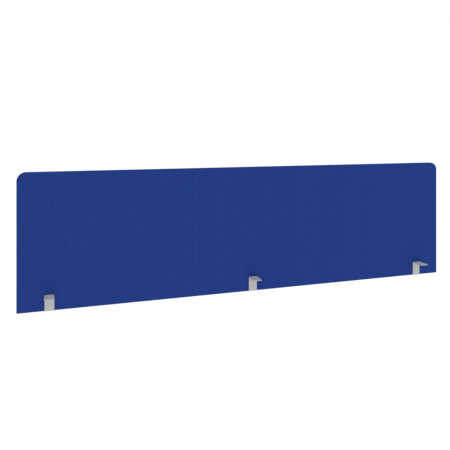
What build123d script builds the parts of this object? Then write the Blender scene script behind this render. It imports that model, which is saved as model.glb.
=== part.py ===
"""Desk privacy panel: a fabric-covered board that hangs behind a desk top on three steel brackets.

The board is a sandwich: an MDF core with a sheet of felt on each face, inside a cover of woven
fabric that is sewn from two halves along the ends and the top. The halves' hems are stapled under
the core, and a plastic strip closes the bottom. Each bracket is a strip of steel folded to an
inverted L. Its leg lies on the front of the board, flush with the bottom edge, and its flange
comes forward under the desk top. Two studs welded to the back of the leg go through the board to
sleeve nuts in its rear face, so the leg's front stays bare.

Millimetres. +X runs along the panel, +Y points away from the desk and +Z is up. The origin is in
the middle of the middle flange's pair of screw holes, on the flange's top face.
"""

import os

from build123d import *

# Finished panel, over the fabric
PANEL_LENGTH = 1600
PANEL_HEIGHT = 450
TOP_CORNER_RADIUS = 28
SOFT_EDGE_RADIUS = 2

# Layers, from the middle out
CORE_THICKNESS = 12
FELT_THICKNESS = 2
FABRIC_THICKNESS = 1

# Seam along the ends and the top, sunk in a groove between the two halves of the cover
SEAM_WIDTH = 0.8
SEAM_DEPTH = 0.5
SEAM_SINK = 0.1

# Hems stapled under the core, and the strip that closes the bottom between them
HEM_GAP = 2
CLOSING_STRIP_THICKNESS = 1.2
CLOSING_STRIP_CLEARANCE = 0.2
STAPLE_CROWN = 12
STAPLE_LEG = 8
STAPLE_WIRE_WIDTH = 0.95
STAPLE_WIRE_HEIGHT = 0.65
STAPLE_PITCH = 100
STAPLE_END_DISTANCE = 50

# Brackets, folded from steel strip
BRACKET_WIDTH = 30
BRACKET_END_DISTANCE = 100
STEEL_THICKNESS = 2.5
LEG_HEIGHT = 53
FLANGE_DEPTH = 52
INNER_BEND_RADIUS = 1
BRACKET_CORNER_RADIUS = 1
DESK_HOLE_DIAMETER = 4.5
DESK_HOLE_SPACING = 24
DESK_HOLE_TIP_DISTANCE = 12

# M4 weld studs on the back of each leg
STUD_DIAMETER = 4
STUD_LENGTH = 13
STUD_FOOT_DIAMETER = 5.5
STUD_FOOT_HEIGHT = 0.8
STUD_TIP_CHAMFER = 0.5
LOWER_STUD_HEIGHT = 15.5
STUD_SPACING = 20
STUD_CLEARANCE = 0.25

# Sleeve nuts, put in from the rear
NUT_HEAD_DIAMETER = 13
NUT_HEAD_THICKNESS = 1.6
NUT_HEAD_EDGE_RADIUS = 0.6
SLEEVE_DIAMETER = 7
SLEEVE_LENGTH = 13
SLEEVE_CLEARANCE = 0.1
THREAD_CLEARANCE = 0.05
THREAD_DEPTH = 11
SOCKET_WIDTH = 4
SOCKET_DEPTH = 2.2

# Planes of the layers, from the front to the rear
FRONT_Y = FLANGE_DEPTH - DESK_HOLE_TIP_DISTANCE - DESK_HOLE_SPACING / 2
FRONT_FELT_Y = FRONT_Y + FABRIC_THICKNESS
CORE_FRONT_Y = FRONT_FELT_Y + FELT_THICKNESS
SEAM_Y = CORE_FRONT_Y + CORE_THICKNESS / 2
CORE_REAR_Y = CORE_FRONT_Y + CORE_THICKNESS
REAR_FELT_Y = CORE_REAR_Y + FELT_THICKNESS
REAR_Y = REAR_FELT_Y + FABRIC_THICKNESS

# Levels of the bottom edge and of the top
BOTTOM_Z = -LEG_HEIGHT
TOP_Z = BOTTOM_Z + PANEL_HEIGHT
FELT_BOTTOM_Z = BOTTOM_Z + FABRIC_THICKNESS
HEM_Z = BOTTOM_Z + CLOSING_STRIP_THICKNESS
CORE_BOTTOM_Z = HEM_Z + FABRIC_THICKNESS

# The space under the core that the strip fills, between the folds of the two hems
CHANNEL_WIDTH = CORE_THICKNESS - 2 * FABRIC_THICKNESS
HEM_ROW_DISTANCE = (CORE_THICKNESS + HEM_GAP) / 2

BRACKET_X = {
    "left": -(PANEL_LENGTH / 2 - BRACKET_END_DISTANCE),
    "middle": 0,
    "right": PANEL_LENGTH / 2 - BRACKET_END_DISTANCE,
}
STUD_Z = {
    "lower": BOTTOM_Z + LOWER_STUD_HEIGHT,
    "upper": BOTTOM_Z + LOWER_STUD_HEIGHT + STUD_SPACING,
}

ON_BASE = (Align.CENTER, Align.CENTER, Align.MIN)


def panel_outline(inset, bottom_z):
    """The panel's outline with round top corners, moved in by inset at the ends and the top."""
    with BuildSketch() as outline:
        with Locations((0, bottom_z)):
            Rectangle(
                PANEL_LENGTH - 2 * inset,
                TOP_Z - inset - bottom_z,
                align=(Align.CENTER, Align.MIN),
            )
        fillet(outline.vertices().group_by(Axis.Y)[-1], TOP_CORNER_RADIUS - inset)
    return outline.sketch


def panel_slab(inset, bottom_z, front_y, rear_y, mode=Mode.ADD):
    """Puts a slab of the panel's outline in the current part, or cuts the room for one."""
    with BuildSketch(Plane.XZ.offset(-rear_y)) as slab:
        add(panel_outline(inset, bottom_z))
    extrude(slab.sketch, rear_y - front_y, mode=mode)


def seam_band(inset, front_y, rear_y, mode=Mode.ADD):
    """Puts a band along the ends and the top in the current part, as deep as the seam."""
    with BuildSketch(Plane.XZ.offset(-rear_y)) as band:
        add(panel_outline(inset, BOTTOM_Z))
        add(panel_outline(SEAM_DEPTH, BOTTOM_Z), mode=Mode.SUBTRACT)
    extrude(band.sketch, rear_y - front_y, mode=mode)


def stud_holes(diameter, front_y, rear_y):
    """Cuts a hole for every stud through the current part."""
    with BuildSketch(Plane.XZ.offset(-rear_y)) as holes:
        with Locations(*[(x, z) for x in BRACKET_X.values() for z in STUD_Z.values()]):
            Circle(diameter / 2)
    extrude(holes.sketch, rear_y - front_y, mode=Mode.SUBTRACT)


def staples(mode=Mode.ADD):
    """Puts both rows of staples in the current part, or cuts the room that they take out of it."""
    count = int((PANEL_LENGTH - 2 * STAPLE_END_DISTANCE) / STAPLE_PITCH) + 1
    with Locations((0, SEAM_Y, HEM_Z)):
        with GridLocations(STAPLE_PITCH, HEM_ROW_DISTANCE, count, 2):
            Box(STAPLE_CROWN, STAPLE_WIRE_WIDTH, STAPLE_WIRE_HEIGHT, align=ON_BASE, mode=mode)
            with GridLocations(STAPLE_CROWN - STAPLE_WIRE_HEIGHT, 0, 2, 1):
                Box(STAPLE_WIRE_HEIGHT, STAPLE_WIRE_WIDTH, STAPLE_LEG, align=ON_BASE, mode=mode)


def save(part, name):
    """Names a finished piece and writes its STEP file."""
    part.label = name
    export_step(part, f"parts/{name}.step")


os.makedirs("parts", exist_ok=True)


# Core: an MDF board with a hole for each sleeve nut. The staples go into its bottom edge.
with BuildPart() as core_board:
    panel_slab(FABRIC_THICKNESS, CORE_BOTTOM_Z, CORE_FRONT_Y, CORE_REAR_Y)
    stud_holes(SLEEVE_DIAMETER + 2 * SLEEVE_CLEARANCE, CORE_FRONT_Y, CORE_REAR_Y)
    staples(mode=Mode.SUBTRACT)
save(core_board.part, "core_board")


# Felt: a sheet glued to each face of the core, down to the fold of the hem.
with BuildPart() as front_felt:
    panel_slab(FABRIC_THICKNESS, FELT_BOTTOM_Z, FRONT_FELT_Y, CORE_FRONT_Y)
    stud_holes(STUD_FOOT_DIAMETER + 2 * STUD_CLEARANCE, FRONT_FELT_Y, CORE_FRONT_Y)
save(front_felt.part, "front_felt")

with BuildPart() as rear_felt:
    panel_slab(FABRIC_THICKNESS, FELT_BOTTOM_Z, CORE_REAR_Y, REAR_FELT_Y)
    stud_holes(SLEEVE_DIAMETER + 2 * SLEEVE_CLEARANCE, CORE_REAR_Y, REAR_FELT_Y)
save(rear_felt.part, "rear_felt")


def cover_half():
    """The front half of the cover: a shallow tray of fabric, its hem turned under the core."""
    with BuildPart() as half:
        panel_slab(0, BOTTOM_Z, FRONT_Y, SEAM_Y)
        fillet(half.faces().sort_by(Axis.Y)[0].edges(), SOFT_EDGE_RADIUS)
        # Room for the felt and the core
        panel_slab(FABRIC_THICKNESS, FELT_BOTTOM_Z, FRONT_FELT_Y, CORE_FRONT_Y, Mode.SUBTRACT)
        panel_slab(FABRIC_THICKNESS, CORE_BOTTOM_Z, CORE_FRONT_Y, SEAM_Y, Mode.SUBTRACT)
        # Room for the closing strip, and the gap that the two hems leave
        with BuildSketch(Plane.YZ):
            with Locations((SEAM_Y, BOTTOM_Z)):
                Rectangle(
                    CHANNEL_WIDTH,
                    CLOSING_STRIP_THICKNESS,
                    align=(Align.CENTER, Align.MIN),
                )
            with Locations((SEAM_Y, HEM_Z)):
                Rectangle(HEM_GAP, FABRIC_THICKNESS, align=(Align.CENTER, Align.MIN))
        extrude(amount=PANEL_LENGTH / 2 - FABRIC_THICKNESS, both=True, mode=Mode.SUBTRACT)
        # Half of the groove that the seam sinks into
        seam_band(0, SEAM_Y - SEAM_WIDTH / 2, SEAM_Y, Mode.SUBTRACT)
        staples(mode=Mode.SUBTRACT)
    return half.part


# Cover: two halves of woven fabric. The rear half mirrors the front one.
front_half = cover_half()

with BuildPart() as front_cover:
    add(front_half)
    stud_holes(STUD_FOOT_DIAMETER + 2 * STUD_CLEARANCE, FRONT_Y, FRONT_FELT_Y)
save(front_cover.part, "front_cover")

with BuildPart() as rear_cover:
    mirror(front_half, about=Plane.XZ.offset(-SEAM_Y))
    stud_holes(SLEEVE_DIAMETER + 2 * SLEEVE_CLEARANCE, REAR_FELT_Y, REAR_Y)
save(rear_cover.part, "rear_cover")


# Seam: the line of thread that joins the two halves, just under the surface.
with BuildPart() as cover_seam:
    seam_band(SEAM_SINK, SEAM_Y - SEAM_WIDTH / 2, SEAM_Y + SEAM_WIDTH / 2)
save(cover_seam.part, "cover_seam")


# Staples: one row through each hem, up into the core.
with BuildPart() as hem_staples:
    staples()
save(hem_staples.part, "hem_staples")


# Closing strip: PVC with an adhesive back, flush with the bottom of the cover.
with BuildPart() as closing_strip:
    with Locations((0, SEAM_Y, BOTTOM_Z)):
        Box(
            PANEL_LENGTH - 2 * (FABRIC_THICKNESS + CLOSING_STRIP_CLEARANCE),
            CHANNEL_WIDTH - 2 * CLOSING_STRIP_CLEARANCE,
            CLOSING_STRIP_THICKNESS,
            align=(Align.CENTER, Align.CENTER, Align.MIN),
        )
save(closing_strip.part, "closing_strip")


def bracket(x):
    """A steel strip folded to an inverted L, with a pair of holes for the desk screws."""
    tip_y = FRONT_Y - FLANGE_DEPTH
    first_hole_y = tip_y + DESK_HOLE_TIP_DISTANCE
    with BuildPart() as strip:
        with BuildSketch(Plane.YZ.offset(x)):
            with BuildLine():
                FilletPolyline(
                    (tip_y, 0),
                    (FRONT_Y, 0),
                    (FRONT_Y, BOTTOM_Z),
                    radius=INNER_BEND_RADIUS + STEEL_THICKNESS,
                )
                offset(amount=STEEL_THICKNESS, side=Side.RIGHT)
            make_face()
        extrude(amount=BRACKET_WIDTH / 2, both=True)
        fillet(strip.edges().filter_by(Axis.Z).group_by(Axis.Y)[0], BRACKET_CORNER_RADIUS)
        fillet(strip.edges().filter_by(Axis.Y).group_by(Axis.Z)[0], BRACKET_CORNER_RADIUS)
        with Locations((x, first_hole_y), (x, first_hole_y + DESK_HOLE_SPACING)):
            Hole(DESK_HOLE_DIAMETER / 2)
    return strip.part


def weld_stud(x, z):
    """A threaded stud on the back of a leg, with the wide foot that it is welded by."""
    with BuildPart(Plane((x, FRONT_Y, z), z_dir=(0, 1, 0))) as stud:
        Cylinder(STUD_FOOT_DIAMETER / 2, STUD_FOOT_HEIGHT, align=ON_BASE)
        Cylinder(STUD_DIAMETER / 2, STUD_LENGTH, align=ON_BASE)
        chamfer(stud.faces().sort_by(Axis.Y)[-1].edges(), STUD_TIP_CHAMFER)
    return stud.part


def sleeve_nut(x, z):
    """A nut with a long sleeve and a flat head, which clamps the board against a leg."""
    with BuildPart(Plane((x, REAR_Y, z), z_dir=(0, 1, 0))) as nut:
        Cylinder(NUT_HEAD_DIAMETER / 2, NUT_HEAD_THICKNESS, align=ON_BASE)
        fillet(nut.faces().sort_by(Axis.Y)[-1].edges(), NUT_HEAD_EDGE_RADIUS)
        with Locations((0, 0, -SLEEVE_LENGTH)):
            Cylinder(SLEEVE_DIAMETER / 2, SLEEVE_LENGTH, align=ON_BASE)
            Cylinder(
                STUD_DIAMETER / 2 + THREAD_CLEARANCE,
                THREAD_DEPTH,
                align=ON_BASE,
                mode=Mode.SUBTRACT,
            )
        with BuildSketch(Plane((x, REAR_Y + NUT_HEAD_THICKNESS, z), z_dir=(0, 1, 0))):
            RegularPolygon(SOCKET_WIDTH / 2, 6, major_radius=False)
        extrude(amount=-SOCKET_DEPTH, mode=Mode.SUBTRACT)
    return nut.part


# Brackets with their studs and nuts: three sets, on the same heights.
for side, bracket_x in BRACKET_X.items():
    save(bracket(bracket_x), f"{side}_bracket")
    for level, stud_z in STUD_Z.items():
        save(weld_stud(bracket_x, stud_z), f"{side}_{level}_stud")
        save(sleeve_nut(bracket_x, stud_z), f"{side}_{level}_nut")
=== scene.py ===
"""Desk privacy panel: the looks of a fabric-covered board on three folded steel brackets.

Metres, in the frame of the CAD model: +X runs along the panel, +Y points away from the desk and
+Z is up.
"""

import math

import bmesh
import bpy
from mathutils import Matrix, Quaternion, Vector


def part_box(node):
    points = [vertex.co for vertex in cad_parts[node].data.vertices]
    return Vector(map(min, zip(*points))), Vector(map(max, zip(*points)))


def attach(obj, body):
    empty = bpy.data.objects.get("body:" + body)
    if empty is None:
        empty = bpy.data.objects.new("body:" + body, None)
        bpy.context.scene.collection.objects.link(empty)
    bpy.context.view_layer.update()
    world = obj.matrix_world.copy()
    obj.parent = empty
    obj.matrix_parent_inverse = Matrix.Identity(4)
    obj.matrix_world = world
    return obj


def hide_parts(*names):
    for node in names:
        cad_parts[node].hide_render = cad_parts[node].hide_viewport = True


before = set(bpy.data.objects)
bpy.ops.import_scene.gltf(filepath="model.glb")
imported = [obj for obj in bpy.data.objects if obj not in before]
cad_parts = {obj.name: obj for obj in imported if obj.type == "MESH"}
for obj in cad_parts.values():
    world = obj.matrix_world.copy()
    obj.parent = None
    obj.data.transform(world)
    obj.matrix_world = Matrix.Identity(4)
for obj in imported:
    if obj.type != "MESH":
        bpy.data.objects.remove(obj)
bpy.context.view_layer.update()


# ---------------------------------------------------------------------------------------------
# Core board. Medium-density fibreboard, sawn to the outline and bored for the sleeve nuts. The
# cover hides all of it, so the CAD body keeps its shape and takes the look of the raw board.
# ---------------------------------------------------------------------------------------------

MDF_LIGHT = "#b9966c"
MDF_DARK = "#957452"
FIBRE_CLUMP = 0.0012
MDF_NAP = 0.00006


def linear(srgb):
    """An sRGB hex colour as the linear colour that shaders take."""
    channels = [int(srgb[i : i + 2], 16) / 255 for i in (1, 3, 5)]
    return [c / 12.92 if c <= 0.04045 else ((c + 0.055) / 1.055) ** 2.4 for c in channels] + [1]


def new_material(name):
    """A material with an empty node tree."""
    material = bpy.data.materials.new(name)
    material.use_nodes = True
    material.node_tree.nodes.clear()
    return material


def add_node(material, kind, inputs, **settings):
    """Adds a node. Its inputs are values, or output sockets of the nodes before it.

    A socket goes by its name, or by its number where several share a name. A Mix node's inputs 2
    and 3 are its two values, with output 0, and its inputs 6 and 7 its two colours, with output 2.
    """
    node = material.node_tree.nodes.new(kind)
    for name, value in settings.items():
        setattr(node, name, value)
    for socket, value in inputs.items():
        if isinstance(value, bpy.types.NodeSocket):
            material.node_tree.links.new(value, node.inputs[socket])
        else:
            node.inputs[socket].default_value = value
    return node


# Raw MDF: tan, matt and softly mottled, with no grain to follow
raw_mdf = new_material("raw_mdf")
board = add_node(raw_mdf, "ShaderNodeTexCoord", {})
clumps = add_node(
    raw_mdf,
    "ShaderNodeTexNoise",
    {"Vector": board.outputs["Object"], "Scale": 1 / FIBRE_CLUMP, "Detail": 4, "Roughness": 0.6},
)
tan = add_node(
    raw_mdf,
    "ShaderNodeMix",
    {0: clumps.outputs["Fac"], 6: linear(MDF_DARK), 7: linear(MDF_LIGHT)},
    data_type="RGBA",
)
nap = add_node(
    raw_mdf,
    "ShaderNodeBump",
    {"Height": clumps.outputs["Fac"], "Distance": MDF_NAP},
)
dryness = add_node(
    raw_mdf,
    "ShaderNodeMapRange",
    {"Value": clumps.outputs["Fac"], "To Min": 0.78, "To Max": 0.93},
)
surface = add_node(
    raw_mdf,
    "ShaderNodeBsdfPrincipled",
    {
        "Base Color": tan.outputs[2],
        "Roughness": dryness.outputs["Result"],
        "IOR": 1.5,
        "Normal": nap.outputs["Normal"],
    },
)
add_node(raw_mdf, "ShaderNodeOutputMaterial", {"Surface": surface.outputs["BSDF"]})

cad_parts["core_board"].material_slots[0].material = raw_mdf


# ---------------------------------------------------------------------------------------------
# Felts. A sheet of needled polyester felt on each face of the core, held by spray glue. The felt
# stands a little proud of its nominal thickness, except where the legs and nut heads clamp it.
# ---------------------------------------------------------------------------------------------

TOP_CORNER_RADIUS = 0.028
SOFT_EDGE_RADIUS = 0.002
FABRIC_THICKNESS = 0.001
FRONT_HOLE_RADIUS = 0.003
REAR_HOLE_RADIUS = 0.0036

SWELL = 0.0004
SWELL_FROM_EDGE = 0.014
SWELL_FROM_FIXING = 0.005

# How finely the meshes are divided, and how near counts as touching. The fine steps go a margin
# past what the brackets press down, and a hole's field is the square around it, in hole radii.
COARSE_STEP = 0.016
EDGE_STEP = 0.002
FINE_STEP = 0.0015
FINE_MARGIN = 0.001
HOLE_SIDES = 32
HOLE_FIELD = 1.5
SMOOTH_BELOW = math.radians(35)
TOUCHING = 1e-6

FELT_WHITE = "#dddcd6"
FELT_SHADE = "#c3c1b9"
FELT_TUFT = 0.0015
FELT_FLUFF = 0.0004

ALONG = Vector((1, 0, 0))
AWAY = Vector((0, 1, 0))
UP = Vector((0, 0, 1))

SIDES = ("left", "middle", "right")
STUDS = [f"{side}_{level}" for side in SIDES for level in ("upper", "lower")]
bracket_boxes = {side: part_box(f"{side}_bracket") for side in SIDES}
stud_centres = [sum(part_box(f"{stud}_stud"), Vector()) / 2 for stud in STUDS]
nut_low, nut_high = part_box("left_upper_nut")
nut_head_radius = (nut_high.x - nut_low.x) / 2

panel_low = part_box("front_cover")[0]
panel_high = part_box("rear_cover")[1]
panel_middle = (panel_low + panel_high) / 2


def board_face(low, high, corner_radius):
    """Starts a mesh with one face: the board's front outline, its top corners rounded."""
    bm = bmesh.new()
    middle = (low + high) / 2
    bmesh.ops.create_grid(
        bm,
        x_segments=1,
        y_segments=1,
        size=0.5,
        matrix=Matrix.Translation((middle.x, low.y, middle.z))
        @ Matrix.Rotation(math.pi / 2, 4, "X")
        @ Matrix.Diagonal((high.x - low.x, high.z - low.z, 1, 1)),
    )
    bmesh.ops.bevel(
        bm,
        geom=[v for v in bm.verts if v.co.z > middle.z],
        offset=corner_radius,
        segments=24,
        profile=0.5,
        affect="VERTICES",
        material=-1,
    )
    return bm


def cut_across(bm, axis, places):
    """Divides every face along planes square to an axis."""
    for place in places:
        bmesh.ops.bisect_plane(
            bm,
            geom=bm.verts[:] + bm.edges[:] + bm.faces[:],
            dist=TOUCHING,
            plane_co=place * axis,
            plane_no=axis,
        )


def nearest_face(bm, point):
    """The face whose middle is nearest to a point."""
    return min(bm.faces, key=lambda f: (f.calc_center_median() - point).length)


def drill(bm, centre, radius, axes):
    """Makes a round hole in a flat face that the two axes lie in."""
    for axis in axes:
        middle = centre.dot(axis)
        cut_across(bm, axis, [middle - HOLE_FIELD * radius, middle + HOLE_FIELD * radius])
    sides = nearest_face(bm, centre).edges[:]
    bmesh.ops.subdivide_edges(bm, edges=sides, cuts=HOLE_SIDES // 4 - 1)
    square = nearest_face(bm, centre)

    # Any inset will do, because its points then move in to the rim, one by one from a corner
    bmesh.ops.inset_individual(bm, faces=[square], thickness=radius / 4)
    ring = square.verts[:]
    first = max(range(len(ring)), key=lambda i: (ring[i].co - centre).length)
    spoke = (ring[first].co - centre).normalized() * radius
    for step, vert in enumerate(ring[first:] + ring[:first]):
        vert.co = centre + Quaternion(square.normal, step * math.tau / len(ring)) @ spoke
    bmesh.ops.delete(bm, geom=[square], context="FACES_ONLY")


def drill_for_studs(bm, face_y, radius):
    """Makes a hole for each stud in the face that lies at face_y."""
    for stud in stud_centres:
        drill(bm, Vector((stud.x, face_y, stud.z)), radius, (ALONG, UP))


def evenly(low, high, step):
    """Places from low to high, no more than a step apart."""
    count = math.ceil((high - low) / step)
    return [low + (high - low) * i / count for i in range(count + 1)]


def rule_board(bm):
    """Divides the board's face coarsely, and finely near the brackets and along the edges."""
    reach = SWELL_FROM_FIXING + FINE_MARGIN
    near_edge = evenly(0, SOFT_EDGE_RADIUS + SWELL_FROM_EDGE, EDGE_STEP)[1:]
    across = evenly(panel_low.x, panel_high.x, COARSE_STEP)[1:-1]
    across += [panel_low.x + d for d in near_edge] + [panel_high.x - d for d in near_edge]
    for low, high in bracket_boxes.values():
        across = [x for x in across if not low.x - reach < x < high.x + reach]
        across += evenly(low.x - reach, high.x + reach, FINE_STEP)
    above = max(high.z for low, high in bracket_boxes.values()) + reach
    up = evenly(panel_low.z + SOFT_EDGE_RADIUS, above, FINE_STEP)
    up += evenly(above, panel_high.z, COARSE_STEP)[1:-1]
    up += [panel_high.z - d for d in near_edge]
    cut_across(bm, ALONG, across)
    cut_across(bm, UP, up)


def ease(t):
    """Goes softly from 0 to 1 as t does."""
    t = min(max(t, 0), 1)
    return t * t * (3 - 2 * t)


def past_legs(x, z):
    """How far a point is outside the nearest leg, which clamps the front."""
    return min(
        math.hypot(max(low.x - x, x - high.x, 0), max(z - high.z, 0))
        for low, high in bracket_boxes.values()
    )


def past_nut_heads(x, z):
    """How far a point is outside the nearest nut head, which clamps the rear."""
    return min(math.hypot(x - stud.x, z - stud.z) for stud in stud_centres) - nut_head_radius


def inside_outline(x, z):
    """How far a point is from the panel's edge."""
    x, z = panel_high.x - abs(x), panel_high.z - z
    if max(x, z) < TOP_CORNER_RADIUS:
        return TOP_CORNER_RADIUS - math.hypot(TOP_CORNER_RADIUS - x, TOP_CORNER_RADIUS - z)
    return min(x, z, panel_high.z - panel_low.z - z)


def swell(bm, face_y, past_fixings):
    """Raises the padded face towards -Y, but not at the panel's edge or under the fixings."""
    for vert in bm.verts:
        if abs(vert.co.y - face_y) < TOUCHING:
            x, z = vert.co.x, vert.co.z
            from_edge = ease((inside_outline(x, z) - SOFT_EDGE_RADIUS) / SWELL_FROM_EDGE)
            from_fixing = ease(past_fixings(x, z) / SWELL_FROM_FIXING)
            vert.co.y -= SWELL * from_edge * from_fixing


def turn_to_rear(bm):
    """Mirrors a front piece about the middle of the board, which makes it the rear one."""
    from_middle = Matrix.Translation(-panel_middle.y * AWAY)
    bmesh.ops.scale(bm, vec=(1, -1, 1), space=from_middle, verts=bm.verts[:])
    bmesh.ops.reverse_faces(bm, faces=bm.faces[:])


def make_object(name, bm, material):
    """Makes the mesh an object of the scene, in one material."""
    mesh = bpy.data.meshes.new(name)
    bm.to_mesh(mesh)
    bm.free()
    mesh.materials.append(material)
    made = bpy.data.objects.new(name, mesh)
    bpy.context.scene.collection.objects.link(made)
    return made


def make_piece(name, bm, material):
    """Makes the mesh a piece of the panel, smooth but for its sharp edges."""
    for face in bm.faces:
        face.smooth = True
    for edge in bm.edges:
        edge.smooth = edge.calc_face_angle(0) < SMOOTH_BELOW
    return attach(make_object(name, bm, material), "root")


def verts_in(geom):
    """The vertices among the parts that an operator gives back."""
    return [v for v in geom if isinstance(v, bmesh.types.BMVert)]


# Needled felt: off-white and quite matt, a mat of short fibres pressed into tufts
needled_felt = new_material("needled_polyester_felt")
sheet = add_node(needled_felt, "ShaderNodeTexCoord", {})
tufts = add_node(
    needled_felt,
    "ShaderNodeTexNoise",
    {"Vector": sheet.outputs["Object"], "Scale": 1 / FELT_TUFT, "Detail": 6, "Roughness": 0.7},
)
white = add_node(
    needled_felt,
    "ShaderNodeMix",
    {0: tufts.outputs["Fac"], 6: linear(FELT_SHADE), 7: linear(FELT_WHITE)},
    data_type="RGBA",
)
fluff = add_node(
    needled_felt,
    "ShaderNodeBump",
    {"Height": tufts.outputs["Fac"], "Distance": FELT_FLUFF},
)
dullness = add_node(
    needled_felt,
    "ShaderNodeMapRange",
    {"Value": tufts.outputs["Fac"], "To Min": 1, "To Max": 0.85},
)
surface = add_node(
    needled_felt,
    "ShaderNodeBsdfPrincipled",
    {
        "Base Color": white.outputs[2],
        "Roughness": dullness.outputs["Result"],
        "Specular IOR Level": 0.1,
        "Sheen Weight": 0.2,
        "Normal": fluff.outputs["Normal"],
    },
)
add_node(needled_felt, "ShaderNodeOutputMaterial", {"Surface": surface.outputs["BSDF"]})


def felt_sheet(hole_radius, past_fixings):
    """A sheet of felt as it lies on the front of the core."""
    low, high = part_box("front_felt")
    bm = board_face(low, high, TOP_CORNER_RADIUS - FABRIC_THICKNESS)
    drill_for_studs(bm, low.y, hole_radius)
    rule_board(bm)
    back = verts_in(bmesh.ops.extrude_face_region(bm, geom=bm.faces[:])["geom"])
    bmesh.ops.translate(bm, verts=back, vec=(0, high.y - low.y, 0))
    swell(bm, low.y, past_fixings)
    bmesh.ops.recalc_face_normals(bm, faces=bm.faces[:])
    return bm


front_felt = make_piece(
    "front_felt_sheet", felt_sheet(FRONT_HOLE_RADIUS, past_legs), needled_felt
)
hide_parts("front_felt")

rear_felt_mesh = felt_sheet(REAR_HOLE_RADIUS, past_nut_heads)
turn_to_rear(rear_felt_mesh)
rear_felt = make_piece("rear_felt_sheet", rear_felt_mesh, needled_felt)
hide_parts("rear_felt")


# ---------------------------------------------------------------------------------------------
# Cover. Two halves of a two-tone polyester cloth, the lighter warp up the panel and the darker
# weft along it. Each half is stretched over the felt, sewn to the other along the ends and the
# top, and folded under the core at the bottom.
# ---------------------------------------------------------------------------------------------

HEM_FOLD_Y = 0.004
HEM_RISE = 0.0012
HEM_DEPTH = 0.004
FOLD_RADIUS = 0.0004
SEAM_DEPTH = 0.0006
SEAM_ROLL = 0.0014
SEAM_ROLL_CUTS = (1, 0.6, 0.3, 0.1)

WARP_BLUE = "#2a4ca1"
WEFT_BLUE = "#1e285d"
REPEAT_WIDTH = 0.0085
REPEAT_HEIGHT = 0.00748
YARNS_IN_REPEAT = 8
YARN_DIP = 0.5
YARN_RELIEF = 0.00025
FIBRE_FLECK = 0.0004
FLECK_RELIEF = 0.2

# How far the weft rises in a spot, and all along a column of spots. The contrast and the bias
# turn its rise into how much of it shows.
SPOT_RISE = 1.2
COLUMN_RISE = 0.9
WEFT_CONTRAST = 1.2
WEFT_BIAS = -0.22

# The centre of the arc of the panel's top right corner
corner_centre = Vector((panel_high.x - TOP_CORNER_RADIUS, 0, panel_high.z - TOP_CORNER_RADIUS))

# Dobby weave: warp and weft go over and under each other, and the dark weft rises over the warp
# in small soft spots. The yarns' crowns are painted lighter, as a painted highlight, and the gaps
# between them darker, as painted shade.
dobby_weave = new_material("dobby_woven_polyester")
cloth = add_node(dobby_weave, "ShaderNodeUVMap", {}, uv_map="weave")
yarns = add_node(
    dobby_weave,
    "ShaderNodeMapping",
    {
        "Vector": cloth.outputs["UV"],
        "Scale": (YARNS_IN_REPEAT / REPEAT_WIDTH, YARNS_IN_REPEAT / REPEAT_HEIGHT, 1),
    },
)
half_turns = add_node(
    dobby_weave,
    "ShaderNodeVectorMath",
    {0: yarns.outputs["Vector"], "Scale": math.pi},
    operation="SCALE",
)
swing = add_node(
    dobby_weave, "ShaderNodeVectorMath", {0: half_turns.outputs["Vector"]}, operation="SINE"
)
swing_xy = add_node(dobby_weave, "ShaderNodeSeparateXYZ", {"Vector": swing.outputs["Vector"]})
crossing = add_node(
    dobby_weave,
    "ShaderNodeMath",
    {0: swing_xy.outputs["X"], 1: swing_xy.outputs["Y"]},
    operation="MULTIPLY",
)

# Spots: two in each repeat, half a repeat apart both ways, each centred on a yarn. They stand in
# upright columns, and the warp lies higher between the columns.
in_repeat = add_node(
    dobby_weave,
    "ShaderNodeVectorMath",
    {
        0: half_turns.outputs["Vector"],
        1: (2 / YARNS_IN_REPEAT, 2 / YARNS_IN_REPEAT, 0),
        2: (-math.pi / YARNS_IN_REPEAT, -math.pi / YARNS_IN_REPEAT, 0),
    },
    operation="MULTIPLY_ADD",
)
wave = add_node(
    dobby_weave, "ShaderNodeVectorMath", {0: in_repeat.outputs["Vector"]}, operation="COSINE"
)
wave_xy = add_node(dobby_weave, "ShaderNodeSeparateXYZ", {"Vector": wave.outputs["Vector"]})
spot_lift = add_node(
    dobby_weave,
    "ShaderNodeVectorMath",
    {0: wave.outputs["Vector"], 1: (COLUMN_RISE, SPOT_RISE, 0)},
    operation="DOT_PRODUCT",
)
rise = add_node(
    dobby_weave,
    "ShaderNodeMath",
    {0: spot_lift.outputs["Value"], 1: wave_xy.outputs["X"]},
    operation="MULTIPLY",
)
weft_level = add_node(
    dobby_weave,
    "ShaderNodeMath",
    {0: crossing.outputs["Value"], 1: rise.outputs["Value"]},
    operation="ADD",
)
weft_shown = add_node(
    dobby_weave,
    "ShaderNodeMath",
    {0: weft_level.outputs["Value"], 1: WEFT_CONTRAST, 2: WEFT_BIAS},
    operation="MULTIPLY_ADD",
    use_clamp=True,
)

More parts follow.
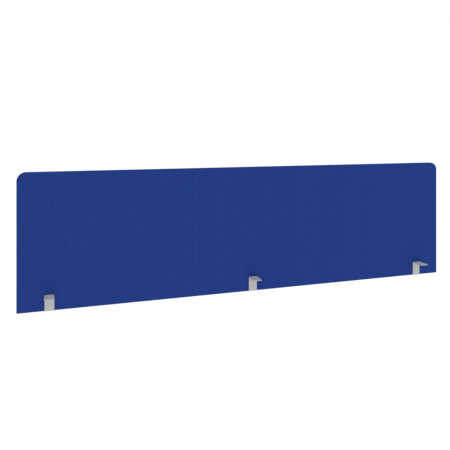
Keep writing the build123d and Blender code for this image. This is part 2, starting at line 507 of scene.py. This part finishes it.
# Heights: a yarn is round across, and arches over each yarn that it crosses. Where it dips
# between them, it is down to half its height.
yarn_round = add_node(
    dobby_weave, "ShaderNodeVectorMath", {0: swing.outputs["Vector"]}, operation="ABSOLUTE"
)
round_xy = add_node(dobby_weave, "ShaderNodeSeparateXYZ", {"Vector": yarn_round.outputs["Vector"]})
other_yarn = add_node(
    dobby_weave,
    "ShaderNodeCombineXYZ",
    {"X": round_xy.outputs["Y"], "Y": round_xy.outputs["X"]},
)
arch = add_node(
    dobby_weave,
    "ShaderNodeVectorMath",
    {
        0: other_yarn.outputs["Vector"],
        1: (1 - YARN_DIP, 1 - YARN_DIP, 0),
        2: (YARN_DIP, YARN_DIP, 0),
    },
    operation="MULTIPLY_ADD",
)
crowns = add_node(
    dobby_weave,
    "ShaderNodeVectorMath",
    {0: yarn_round.outputs["Vector"], 1: arch.outputs["Vector"]},
    operation="MULTIPLY",
)
crown_xy = add_node(dobby_weave, "ShaderNodeSeparateXYZ", {"Vector": crowns.outputs["Vector"]})
crown = add_node(
    dobby_weave,
    "ShaderNodeMix",
    {
        0: weft_shown.outputs["Value"],
        2: crown_xy.outputs["X"],
        3: crown_xy.outputs["Y"],
    },
)

# No two yarns take the dye alike
yarn_number = add_node(
    dobby_weave, "ShaderNodeVectorMath", {0: yarns.outputs["Vector"]}, operation="FLOOR"
)
number_xy = add_node(
    dobby_weave, "ShaderNodeSeparateXYZ", {"Vector": yarn_number.outputs["Vector"]}
)
warp_dye = add_node(
    dobby_weave, "ShaderNodeTexWhiteNoise", {"W": number_xy.outputs["X"]}, noise_dimensions="1D"
)
weft_dye = add_node(
    dobby_weave, "ShaderNodeTexWhiteNoise", {"W": number_xy.outputs["Y"]}, noise_dimensions="1D"
)
dye = add_node(
    dobby_weave,
    "ShaderNodeMix",
    {
        0: weft_shown.outputs["Value"],
        2: warp_dye.outputs["Value"],
        3: weft_dye.outputs["Value"],
    },
)
dye_depth = add_node(
    dobby_weave,
    "ShaderNodeMapRange",
    {"Value": dye.outputs[0], "To Min": 0.95, "To Max": 1.05},
)

# Fibres are 0.02 mm thick, too fine to show, so they are drawn as flecks of 0.4 mm
flecks = add_node(
    dobby_weave,
    "ShaderNodeTexNoise",
    {"Vector": cloth.outputs["UV"], "Scale": 1 / FIBRE_FLECK, "Detail": 3, "Roughness": 0.6},
)
# Painted light and shade: the blue is scaled by the yarns' height, lighter on the crowns and darker
# in the gaps
painted_crown_light_and_gap_shade = add_node(
    dobby_weave,
    "ShaderNodeMapRange",
    {"Value": crown.outputs[0], "To Min": 0.68, "To Max": 1.18},
)
fleck_shade = add_node(
    dobby_weave,
    "ShaderNodeMapRange",
    {"Value": flecks.outputs["Fac"], "To Min": 0.85, "To Max": 1.15},
)
painted_shade_and_flecks = add_node(
    dobby_weave,
    "ShaderNodeMath",
    {0: painted_crown_light_and_gap_shade.outputs["Result"], 1: fleck_shade.outputs["Result"]},
    operation="MULTIPLY",
)
painted_shade_flecks_and_dye = add_node(
    dobby_weave,
    "ShaderNodeMath",
    {0: painted_shade_and_flecks.outputs["Value"], 1: dye_depth.outputs["Result"]},
    operation="MULTIPLY",
)
blues = add_node(
    dobby_weave,
    "ShaderNodeMix",
    {0: weft_shown.outputs["Value"], 6: linear(WARP_BLUE), 7: linear(WEFT_BLUE)},
    data_type="RGBA",
)
# The weave's blues, with the painted shade of crowns and gaps, the flecks and each yarn's dye
blue_with_painted_shade = add_node(
    dobby_weave,
    "ShaderNodeVectorMath",
    {0: blues.outputs[2], "Scale": painted_shade_flecks_and_dye.outputs["Value"]},
    operation="SCALE",
)
relief = add_node(
    dobby_weave,
    "ShaderNodeMath",
    {0: flecks.outputs["Fac"], 1: FLECK_RELIEF, 2: crown.outputs[0]},
    operation="MULTIPLY_ADD",
)
ribs = add_node(
    dobby_weave,
    "ShaderNodeBump",
    {"Height": relief.outputs["Value"], "Distance": YARN_RELIEF},
)
fuzz = add_node(
    dobby_weave,
    "ShaderNodeMapRange",
    {"Value": crown.outputs[0], "To Min": 0.98, "To Max": 0.83},
)
surface = add_node(
    dobby_weave,
    "ShaderNodeBsdfPrincipled",
    {
        "Base Color": blue_with_painted_shade.outputs["Vector"],
        "Roughness": fuzz.outputs["Result"],
        "Specular IOR Level": 0.03,
        "Normal": ribs.outputs["Normal"],
    },
)
add_node(dobby_weave, "ShaderNodeOutputMaterial", {"Surface": surface.outputs["BSDF"]})


def lay_weave(bm):
    """Gives each point its place on the flat cloth in metres, as the UV map "weave"."""
    corner = corner_centre.xz
    soft = SOFT_EDGE_RADIUS
    weave = bm.loops.layers.uv.new("weave")
    for loop in (loop for face in bm.faces for loop in face.loops):
        x, y, z = loop.vert.co
        point = Vector((abs(x), z))
        if point.x > corner.x and point.y > corner.y:
            spoke = point - corner
            flat = corner + spoke.normalized() * min(spoke.length, TOP_CORNER_RADIUS - soft)
        else:
            flat = Vector((
                min(point.x, panel_high.x - soft),
                min(max(z, panel_low.z + soft), panel_high.z - soft),
            ))
        past = point - flat
        wrapped = soft * math.asin(min(past.length / soft, 1))
        if y > panel_low.y + soft:
            wrapped = soft * math.pi / 2 + y - panel_low.y - soft
        flat += past.normalized() * wrapped
        loop[weave].uv = (math.copysign(flat.x, x), flat.y)


def round_edges(bm, edges, radius, segments):
    """Rounds edges over to a radius."""
    bmesh.ops.bevel(
        bm,
        geom=edges,
        offset=radius,
        segments=segments,
        profile=0.5,
        affect="EDGES",
        material=-1,
    )


def fold_hem(bm):
    """Folds the bottom of the cover up behind the felt and back under the core."""
    fold_y = panel_low.y + HEM_FOLD_Y
    bottom = panel_low.z + TOUCHING
    cut_across(bm, AWAY, [fold_y])
    behind = [
        f
        for f in bm.faces
        if f.calc_center_median().y > fold_y and f.calc_center_median().z < bottom
    ]
    bmesh.ops.delete(bm, geom=behind, context="FACES")
    end = panel_high.x - FABRIC_THICKNESS / 2
    cut_across(bm, ALONG, [-end, end])
    edge = [
        e
        for e in bm.edges
        if e.is_boundary
        and all(
            abs(v.co.y - fold_y) < TOUCHING and abs(v.co.x) < end + TOUCHING and v.co.z < bottom
            for v in e.verts
        )
    ]
    folds = edge[:]
    for step in ((0, 0, HEM_RISE), (0, HEM_DEPTH, 0)):
        grown = bmesh.ops.extrude_edge_only(bm, edges=edge)["geom"]
        verts = verts_in(grown)
        bmesh.ops.translate(bm, verts=verts, vec=step)
        edge = [
            e
            for e in grown
            if isinstance(e, bmesh.types.BMEdge) and all(v in verts for v in e.verts)
        ]
        folds += edge
    round_edges(bm, [e for e in folds if not e.is_boundary], FOLD_RADIUS, segments=3)


def roll_into_seam(bm):
    """Rolls the sewn edge inwards, so that a shallow valley runs along the seam."""
    seam_y = panel_middle.y
    cut_across(bm, AWAY, [seam_y - SEAM_ROLL * share for share in SEAM_ROLL_CUTS])
    corner_x, corner_z = corner_centre.xz
    for vert in bm.verts:
        rolled = 1 - (seam_y - vert.co.y) / SEAM_ROLL
        if rolled > 0:
            x, z = vert.co.x, vert.co.z
            out = Vector((x - min(max(x, -corner_x), corner_x), 0, z - min(z, corner_z)))
            vert.co -= out.normalized() * SEAM_DEPTH * (1 - math.sqrt(max(1 - rolled**2, 0)))


def cover_half(hole_radius, past_fixings):
    """The front half of the cover as a surface, folded and drilled, with its weave laid on."""
    low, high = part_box("front_cover")
    bm = board_face(low, high, TOP_CORNER_RADIUS)
    outline = bm.edges[:]
    sewn_edge = verts_in(bmesh.ops.extrude_edge_only(bm, edges=outline)["geom"])
    bmesh.ops.translate(bm, verts=sewn_edge, vec=(0, high.y - low.y, 0))
    round_edges(bm, outline, SOFT_EDGE_RADIUS, segments=5)
    drill_for_studs(bm, low.y, hole_radius)
    rule_board(bm)
    fold_hem(bm)
    roll_into_seam(bm)
    lay_weave(bm)
    swell(bm, low.y, past_fixings)
    return bm


front_cover = make_piece(
    "front_cover_cloth", cover_half(FRONT_HOLE_RADIUS, past_legs), dobby_weave
)
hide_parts("front_cover")

rear_cover_mesh = cover_half(REAR_HOLE_RADIUS, past_nut_heads)
turn_to_rear(rear_cover_mesh)
rear_cover = make_piece("rear_cover_cloth", rear_cover_mesh, dobby_weave)
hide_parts("rear_cover")

# The sewn surfaces get the thickness of their cloth, inwards
for cover in (front_cover, rear_cover):
    solid = cover.modifiers.new("cloth thickness", "SOLIDIFY")
    solid.thickness = FABRIC_THICKNESS
    solid.offset = -1
    solid.use_even_offset = True


# ---------------------------------------------------------------------------------------------
# Seam. A lockstitch in bonded polyester thread joins the two halves from the inside. Each stitch
# shows as a short bar of thread across the bottom of the valley.
# ---------------------------------------------------------------------------------------------

STITCH_PITCH = 0.003
STITCH_LENGTH = 0.0024
THREAD_DIAMETER = 0.0004
STITCH_SLANT = math.radians(12)
STITCH_DEPTH = 0.0004

THREAD_BLUE = "#1c3070"
THREAD_PAINTED_HIGHLIGHT_BLUE = "#24408c"
THREAD_TWIST = 0.0005
TWIST_RELIEF = 0.00004

# A wave texture's own rate, at a scale of 1, in radians for each metre
WAVE_RATE = 20


def wave_scale(pitch):
    """The scale at which a wave texture makes one ridge in each pitch."""
    return math.tau / WAVE_RATE / pitch


# Bonded thread: smooth, tightly twisted and a little shinier than the cloth
bonded_thread = new_material("bonded_polyester_thread")
seam = add_node(bonded_thread, "ShaderNodeTexCoord", {})
twist = add_node(
    bonded_thread,
    "ShaderNodeTexWave",
    {"Vector": seam.outputs["Object"], "Scale": wave_scale(THREAD_TWIST), "Distortion": 0.4},
    bands_direction="DIAGONAL",
)
# Painted highlight: the crests of the twist are painted a lighter blue
thread_blue_with_painted_highlight = add_node(
    bonded_thread,
    "ShaderNodeMix",
    {0: twist.outputs["Fac"], 6: linear(THREAD_BLUE), 7: linear(THREAD_PAINTED_HIGHLIGHT_BLUE)},
    data_type="RGBA",
)
plies = add_node(
    bonded_thread,
    "ShaderNodeBump",
    {"Height": twist.outputs["Fac"], "Distance": TWIST_RELIEF},
)
polish = add_node(
    bonded_thread,
    "ShaderNodeMapRange",
    {"Value": twist.outputs["Fac"], "To Min": 0.6, "To Max": 0.4},
)
surface = add_node(
    bonded_thread,
    "ShaderNodeBsdfPrincipled",
    {
        "Base Color": thread_blue_with_painted_highlight.outputs[2],
        "Roughness": polish.outputs["Result"],
        "Specular IOR Level": 0.3,
        "Normal": plies.outputs["Normal"],
    },
)
add_node(bonded_thread, "ShaderNodeOutputMaterial", {"Surface": surface.outputs["BSDF"]})

seam_bend = TOP_CORNER_RADIUS - STITCH_DEPTH
half_seam = corner_centre.x + seam_bend * math.pi / 2 + corner_centre.z - panel_low.z


def along_seam(way):
    """A point of the seam and its turn from +X, at a way along it from the middle of the top."""
    past_top = max(way - corner_centre.x, 0)
    turn = min(past_top / seam_bend, math.pi / 2)
    down = past_top - turn * seam_bend
    x = way - past_top + seam_bend * math.sin(turn)
    z = corner_centre.z + seam_bend * math.cos(turn) - down
    return Vector((x, panel_middle.y, z)), turn


stitches = bmesh.new()
for count in range(int(half_seam / STITCH_PITCH)):
    point, turn = along_seam((count + 0.5) * STITCH_PITCH)
    bmesh.ops.create_uvsphere(
        stitches,
        u_segments=6,
        v_segments=5,
        radius=0.5,
        matrix=Matrix.Translation(point)
        @ Matrix.Rotation(turn, 4, "Y")
        @ Matrix.Rotation(STITCH_SLANT, 4, "Z")
        @ Matrix.Rotation(math.pi / 2, 4, "Y")
        @ Matrix.Diagonal((THREAD_DIAMETER, THREAD_DIAMETER, STITCH_LENGTH, 1)),
    )
right_half = stitches.verts[:] + stitches.edges[:] + stitches.faces[:]
bmesh.ops.mirror(stitches, geom=right_half, axis="X")
bmesh.ops.recalc_face_normals(stitches, faces=stitches.faces[:])
seam_stitches = make_piece("seam_stitches", stitches, bonded_thread)
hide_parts("cover_seam")


# ---------------------------------------------------------------------------------------------
# Staples. Flat galvanised wire, driven up through each hem into the core. The closing strip
# covers them, so the CAD body stays and takes the look of the wire.
# ---------------------------------------------------------------------------------------------

GALVANISED_LIGHT = "#b9b9b4"
GALVANISED_DARK = "#9a9a96"
ZINC_SPANGLE = 0.002
SPANGLE_RELIEF = 0.00003

# Galvanised wire: dull silver with cloudy patches of zinc
galvanised_wire = new_material("galvanised_wire")
wire = add_node(galvanised_wire, "ShaderNodeTexCoord", {})
spangle = add_node(
    galvanised_wire,
    "ShaderNodeTexNoise",
    {"Vector": wire.outputs["Object"], "Scale": 1 / ZINC_SPANGLE, "Detail": 2},
)
silver = add_node(
    galvanised_wire,
    "ShaderNodeMix",
    {0: spangle.outputs["Fac"], 6: linear(GALVANISED_DARK), 7: linear(GALVANISED_LIGHT)},
    data_type="RGBA",
)
dullness = add_node(
    galvanised_wire,
    "ShaderNodeMapRange",
    {"Value": spangle.outputs["Fac"], "To Min": 0.3, "To Max": 0.6},
)
rolled = add_node(
    galvanised_wire,
    "ShaderNodeBump",
    {"Height": spangle.outputs["Fac"], "Distance": SPANGLE_RELIEF},
)
surface = add_node(
    galvanised_wire,
    "ShaderNodeBsdfPrincipled",
    {
        "Base Color": silver.outputs[2],
        "Metallic": 1,
        "Roughness": dullness.outputs["Result"],
        "Normal": rolled.outputs["Normal"],
    },
)
add_node(galvanised_wire, "ShaderNodeOutputMaterial", {"Surface": surface.outputs["BSDF"]})

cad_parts["hem_staples"].material_slots[0].material = galvanised_wire


# ---------------------------------------------------------------------------------------------
# Closing strip. Extruded PVC with an adhesive back, pressed between the folds of the two hems.
# Its edges are eased, and two shallow grooves run along it as the die left them.
# ---------------------------------------------------------------------------------------------

STRIP_EDGE = 0.0003
GROOVE_Y = 0.003
GROOVE_WIDTH = 0.0006
GROOVE_DEPTH = 0.0002

PVC_BLUE = "#1a295c"
PVC_BLOOM = "#202f64"
PVC_GRAIN = 0.0008
GRAIN_RELIEF = 0.00005

# Matt PVC: dark blue, with a fine grain from the embossing roller
matt_pvc = new_material("matt_pvc")
strip = add_node(matt_pvc, "ShaderNodeTexCoord", {})
grain = add_node(
    matt_pvc,
    "ShaderNodeTexVoronoi",
    {"Vector": strip.outputs["Object"], "Scale": 1 / PVC_GRAIN},
)
bloom = add_node(
    matt_pvc,
    "ShaderNodeMix",
    {0: grain.outputs["Distance"], 6: linear(PVC_BLUE), 7: linear(PVC_BLOOM)},
    data_type="RGBA",
)
haze = add_node(
    matt_pvc,
    "ShaderNodeMapRange",
    {"Value": grain.outputs["Distance"], "To Min": 0.5, "To Max": 0.7},
)
pebble = add_node(
    matt_pvc,
    "ShaderNodeBump",
    {"Height": grain.outputs["Distance"], "Distance": GRAIN_RELIEF},
)
surface = add_node(
    matt_pvc,
    "ShaderNodeBsdfPrincipled",
    {
        "Base Color": bloom.outputs[2],
        "Roughness": haze.outputs["Result"],
        "IOR": 1.53,
        "Normal": pebble.outputs["Normal"],
    },
)
add_node(matt_pvc, "ShaderNodeOutputMaterial", {"Surface": surface.outputs["BSDF"]})

low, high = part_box("closing_strip")
middle = (low + high) / 2
strip_mesh = bmesh.new()
bmesh.ops.create_cube(
    strip_mesh,
    size=1,
    matrix=Matrix.Translation(middle) @ Matrix.Diagonal((*(high - low), 1)),
)
lower_edges = [e for e in strip_mesh.edges if all(v.co.z < middle.z for v in e.verts)]
round_edges(strip_mesh, lower_edges, STRIP_EDGE, segments=3)
for groove_y in (middle.y - GROOVE_Y, middle.y + GROOVE_Y):
    cuts = [groove_y - GROOVE_WIDTH / 2, groove_y, groove_y + GROOVE_WIDTH / 2]
    cut_across(strip_mesh, AWAY, cuts)
    for vert in strip_mesh.verts:
        if abs(vert.co.y - groove_y) < TOUCHING and vert.co.z < middle.z:
            vert.co.z += GROOVE_DEPTH
closing_strip = make_piece("closing_strip_profile", strip_mesh, matt_pvc)
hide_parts("closing_strip")


# ---------------------------------------------------------------------------------------------
# Brackets. Cold-rolled steel strip, punched, folded to an inverted L and powder coated light
# grey. The coating rounds every edge a little.
# ---------------------------------------------------------------------------------------------

STEEL_THICKNESS = 0.0025
BEND_RADIUS = 0.0035
BEND_STEPS = 10
BRACKET_CORNER = 0.001
PAINTED_EDGE = 0.0003
SHARP_ABOVE = math.radians(50)
DESK_HOLE_RADIUS = 0.00225
DESK_HOLES_FROM_TIP = (0.012, 0.036)

POWDER_GREY = "#bcbcbc"
POWDER_GREY_SHADE = "#b5b5b5"
POWDER_RIPPLE = 0.0012
RIPPLE_RELIEF = 0.00012

# Fine-texture powder coat: light grey and semi-matt, with the small ripple of melted powder
powder_coat = new_material("light_grey_powder_coat")
steel = add_node(powder_coat, "ShaderNodeTexCoord", {})
ripple = add_node(
    powder_coat,
    "ShaderNodeTexNoise",
    {"Vector": steel.outputs["Object"], "Scale": 1 / POWDER_RIPPLE, "Detail": 3, "Roughness": 0.5},
)
grey = add_node(
    powder_coat,
    "ShaderNodeMix",
    {0: ripple.outputs["Fac"], 6: linear(POWDER_GREY_SHADE), 7: linear(POWDER_GREY)},
    data_type="RGBA",
)
sheen = add_node(
    powder_coat,
    "ShaderNodeMapRange",
    {"Value": ripple.outputs["Fac"], "To Min": 0.38, "To Max": 0.58},
)
skin = add_node(
    powder_coat,
    "ShaderNodeBump",
    {"Height": ripple.outputs["Fac"], "Distance": RIPPLE_RELIEF},
)
surface = add_node(
    powder_coat,
    "ShaderNodeBsdfPrincipled",
    {
        "Base Color": grey.outputs[2],
        "Roughness": sheen.outputs["Result"],
        "IOR": 1.5,
        "Normal": skin.outputs["Normal"],
    },
)
add_node(powder_coat, "ShaderNodeOutputMaterial", {"Surface": surface.outputs["BSDF"]})


def folded_bracket(low, high):
    """A bracket that fills the box from low to high: a flange, a bend and a leg."""
    bend_y, bend_z = high.y - BEND_RADIUS, high.z - BEND_RADIUS
    middle_x, middle_y = (low.x + high.x) / 2, (low.y + bend_y) / 2
    bm = bmesh.new()
    bmesh.ops.create_grid(
        bm,
        x_segments=1,
        y_segments=1,
        size=0.5,
        matrix=Matrix.Translation((middle_x, middle_y, high.z))
        @ Matrix.Diagonal((high.x - low.x, bend_y - low.y, 1, 1)),
    )
    for distance in DESK_HOLES_FROM_TIP:
        centre = Vector((middle_x, low.y + distance, high.z))
        drill(bm, centre, DESK_HOLE_RADIUS, (ALONG, AWAY))
    underside = verts_in(bmesh.ops.extrude_face_region(bm, geom=bm.faces[:])["geom"])
    bmesh.ops.translate(bm, verts=underside, vec=(0, 0, -STEEL_THICKNESS))
    end = [f for f in bm.faces if f.calc_center_median().y > bend_y - TOUCHING]
    end += list({e for f in end for e in f.edges} | {v for f in end for v in f.verts})
    end = bmesh.ops.spin(
        bm,
        geom=end,
        cent=(0, bend_y, bend_z),
        axis=ALONG,
        angle=-math.pi / 2,
        steps=BEND_STEPS,
        use_duplicate=False,
    )["geom_last"]
    end = [f for f in end if isinstance(f, bmesh.types.BMFace)]
    foot = verts_in(bmesh.ops.extrude_face_region(bm, geom=end)["geom"])
    bmesh.ops.delete(bm, geom=end, context="FACES")
    bmesh.ops.translate(bm, verts=foot, vec=(0, 0, low.z - bend_z))
    bmesh.ops.recalc_face_normals(bm, faces=bm.faces[:])
    corners = [
        e
        for e in bm.edges
        if e.calc_face_angle(0) > SHARP_ABOVE
        and e.calc_length() < STEEL_THICKNESS + TOUCHING
        and abs(e.verts[0].co.x - middle_x) > high.x - middle_x - TOUCHING
        and (e.verts[0].co.y < low.y + TOUCHING or e.verts[0].co.z < low.z + TOUCHING)
    ]
    round_edges(bm, corners, BRACKET_CORNER, segments=4)
    sharp = [e for e in bm.edges if e.calc_face_angle(0) > SHARP_ABOVE]
    round_edges(bm, sharp, PAINTED_EDGE, segments=2)
    return bm


for side, (low, high) in bracket_boxes.items():
    bracket = make_piece(f"{side}_bracket_folded", folded_bracket(low, high), powder_coat)
    bracket.modifiers.new("flat faces stay flat", "WEIGHTED_NORMAL").keep_sharp = True
    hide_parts(f"{side}_bracket")


# ---------------------------------------------------------------------------------------------
# Studs. M4 weld studs, rolled from steel wire, on the back of each leg. They are all inside the
# board, so the CAD bodies stay and take the look of a plated thread.
# ---------------------------------------------------------------------------------------------

ZINC_LIGHT = "#c6c8ca"
ZINC_DARK = "#a9abae"
ZINC_CLOUD = 0.003
THREAD_PITCH = 0.0007
THREAD_RELIEF = 0.0003


def zinc_plated(name, pitch, relief):
    """Zinc plating: bright, cloudy silver over ridges at a pitch along Y, a thread's or a tool's."""
    zinc = new_material(name)
    part = add_node(zinc, "ShaderNodeTexCoord", {})
    cloud = add_node(
        zinc,
        "ShaderNodeTexNoise",
        {"Vector": part.outputs["Object"], "Scale": 1 / ZINC_CLOUD, "Detail": 3},
    )
    silver = add_node(
        zinc,
        "ShaderNodeMix",
        {0: cloud.outputs["Fac"], 6: linear(ZINC_DARK), 7: linear(ZINC_LIGHT)},
        data_type="RGBA",
    )
    brightness = add_node(
        zinc,
        "ShaderNodeMapRange",
        {"Value": cloud.outputs["Fac"], "To Min": 0.2, "To Max": 0.35},
    )
    ridges = add_node(
        zinc,
        "ShaderNodeTexWave",
        {"Vector": part.outputs["Object"], "Scale": wave_scale(pitch)},
        bands_direction="Y",
    )
    cut = add_node(
        zinc, "ShaderNodeBump", {"Height": ridges.outputs["Fac"], "Distance": relief}
    )
    surface = add_node(
        zinc,
        "ShaderNodeBsdfPrincipled",
        {
            "Base Color": silver.outputs[2],
            "Metallic": 1,
            "Roughness": brightness.outputs["Result"],
            "Normal": cut.outputs["Normal"],
        },
    )
    add_node(zinc, "ShaderNodeOutputMaterial", {"Surface": surface.outputs["BSDF"]})
    return zinc


zinc_thread = zinc_plated("zinc_plated_thread", THREAD_PITCH, THREAD_RELIEF)
for stud in STUDS:
    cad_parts[f"{stud}_stud"].material_slots[0].material = zinc_thread


# ---------------------------------------------------------------------------------------------
# Sleeve nuts. Turned steel, zinc plated: a flat round head with a hexagon socket, and a sleeve
# that reaches through the rear of the board to the stud.
# ---------------------------------------------------------------------------------------------

HEAD_THICKNESS = 0.0016
HEAD_EDGE_RADIUS = 0.0006
SLEEVE_RADIUS = 0.0035
BORE_RADIUS = 0.00205
BORE_DEPTH = 0.011
SOCKET_WIDTH = 0.004
SOCKET_DEPTH = 0.0022
NUT_SIDES = 48

TURNING_PITCH = 0.0003
TURNING_RELIEF = 0.00001


def sleeve_nut(low, high):
    """A nut that fills the box from low to high, its head to the rear."""
    centre = (low + high) / 2
    head_y = high.y - HEAD_THICKNESS
    bore_end = low.y + BORE_DEPTH
    bm = bmesh.new()
    profile = [
        (nut_head_radius, high.y),
        (nut_head_radius, head_y),
        (SLEEVE_RADIUS, head_y),
        (SLEEVE_RADIUS, low.y),
        (BORE_RADIUS, low.y),
        (BORE_RADIUS, bore_end),
        (0, bore_end),
    ]
    verts = [bm.verts.new((centre.x + radius, y, centre.z)) for radius, y in profile]
    edges = [bm.edges.new(pair) for pair in zip(verts, verts[1:])]
    bmesh.ops.spin(
        bm,
        geom=verts + edges,
        cent=centre,
        axis=AWAY,
        angle=math.tau,
        steps=NUT_SIDES,
        use_merge=True,
        use_duplicate=False,
    )
    bmesh.ops.remove_doubles(bm, verts=bm.verts[:], dist=TOUCHING)
    rim = [e for e in bm.edges if e.is_boundary]
    bmesh.ops.edgeloop_fill(bm, edges=rim)
    bmesh.ops.recalc_face_normals(bm, faces=bm.faces[:])
    round_edges(bm, rim, HEAD_EDGE_RADIUS, segments=4)

    # The head's flat is by far the largest face. The points of an inset in it move to the sides
    # of the hexagon, and the face between them sinks to the bottom of the socket.
    flat = max(bm.faces, key=lambda f: f.calc_area())
    bmesh.ops.inset_individual(bm, faces=[flat], thickness=SOCKET_WIDTH / 2)
    for vert in flat.verts:
        spoke = vert.co - Vector((centre.x, high.y, centre.z))
        turn = math.atan2(spoke.z, spoke.x) % (math.pi / 3) - math.pi / 6
        vert.co -= spoke * (1 - SOCKET_WIDTH / 2 / math.cos(turn) / spoke.length)
    bmesh.ops.inset_individual(bm, faces=[flat], thickness=0, depth=-SOCKET_DEPTH)
    return bm


zinc_turned = zinc_plated("zinc_plated_turning", TURNING_PITCH, TURNING_RELIEF)
for stud in STUDS:
    low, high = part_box(f"{stud}_nut")
    nut = make_piece(f"{stud}_sleeve_nut", sleeve_nut(low, high), zinc_turned)
    nut.modifiers.new("flat faces stay flat", "WEIGHTED_NORMAL").keep_sharp = True
    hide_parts(f"{stud}_nut")


# ---------------------------------------------------------------------------------------------
# Room. A white studio: even light from all round, and a plain floor as far below the brackets as
# it is below a desk top.
# ---------------------------------------------------------------------------------------------

DESK_UNDERSIDE = 0.715
FLOOR_SIZE = 60
FLOOR_WHITE = "#fafafa"
FLOOR_LIFT = 0.1

studio = bpy.data.worlds.new("white_studio")
studio.use_nodes = True
studio.node_tree.nodes["Background"].inputs["Color"].default_value = (1, 1, 1, 1)
studio.node_tree.nodes["Background"].inputs["Strength"].default_value = 1
bpy.context.scene.world = studio

# Painted floor: plain white to the eye and in reflections, and still darker where it is in shadow
floor_paint = new_material("white_floor_paint")
path = add_node(floor_paint, "ShaderNodeLightPath", {})
seen = add_node(
    floor_paint,
    "ShaderNodeMath",
    {0: path.outputs["Is Camera Ray"], 1: path.outputs["Is Glossy Ray"]},
    operation="MAXIMUM",
)
seen_through = add_node(
    floor_paint,
    "ShaderNodeMath",
    {0: seen.outputs["Value"], 1: path.outputs["Is Transmission Ray"]},
    operation="MAXIMUM",
)
lift = add_node(
    floor_paint,
    "ShaderNodeMath",
    {0: seen_through.outputs["Value"], 1: FLOOR_LIFT},
    operation="MULTIPLY",
)
glow = add_node(floor_paint, "ShaderNodeEmission", {"Strength": lift.outputs["Value"]})
paint = add_node(floor_paint, "ShaderNodeBsdfDiffuse", {"Color": linear(FLOOR_WHITE)})
both = add_node(
    floor_paint,
    "ShaderNodeAddShader",
    {0: paint.outputs["BSDF"], 1: glow.outputs["Emission"]},
)
add_node(floor_paint, "ShaderNodeOutputMaterial", {"Surface": both.outputs["Shader"]})

floor_mesh = bmesh.new()
bmesh.ops.create_grid(
    floor_mesh,
    x_segments=1,
    y_segments=1,
    size=FLOOR_SIZE / 2,
    matrix=Matrix.Translation((0, 0, -DESK_UNDERSIDE)),
)
make_object("floor", floor_mesh, floor_paint)


# ---------------------------------------------------------------------------------------------
# Camera. Level, at the height of a seated person's eyes over the desk, left of the middle and
# turned to the right. The lens is shifted down, so that the ends of the panel stay upright.
# ---------------------------------------------------------------------------------------------

CAMERA_FROM_MIDDLE = -0.6442
CAMERA_FROM_FRONT = 1.7593
CAMERA_ABOVE_BOTTOM = 0.5949
CAMERA_TURN = 0.2972
CAMERA_LENS = 41.15
CAMERA_SHIFT = -0.2175

view = bpy.data.cameras.new("view")
view.lens = CAMERA_LENS
view.shift_y = CAMERA_SHIFT
camera = bpy.data.objects.new("camera", view)
camera.location = (
    panel_middle.x + CAMERA_FROM_MIDDLE,
    panel_low.y - CAMERA_FROM_FRONT,
    panel_low.z + CAMERA_ABOVE_BOTTOM,
)
camera.rotation_euler = (math.pi / 2, 0, -CAMERA_TURN)
bpy.context.scene.collection.objects.link(camera)
bpy.context.scene.camera = camera
bpy.context.scene.view_settings.view_transform = "Standard"
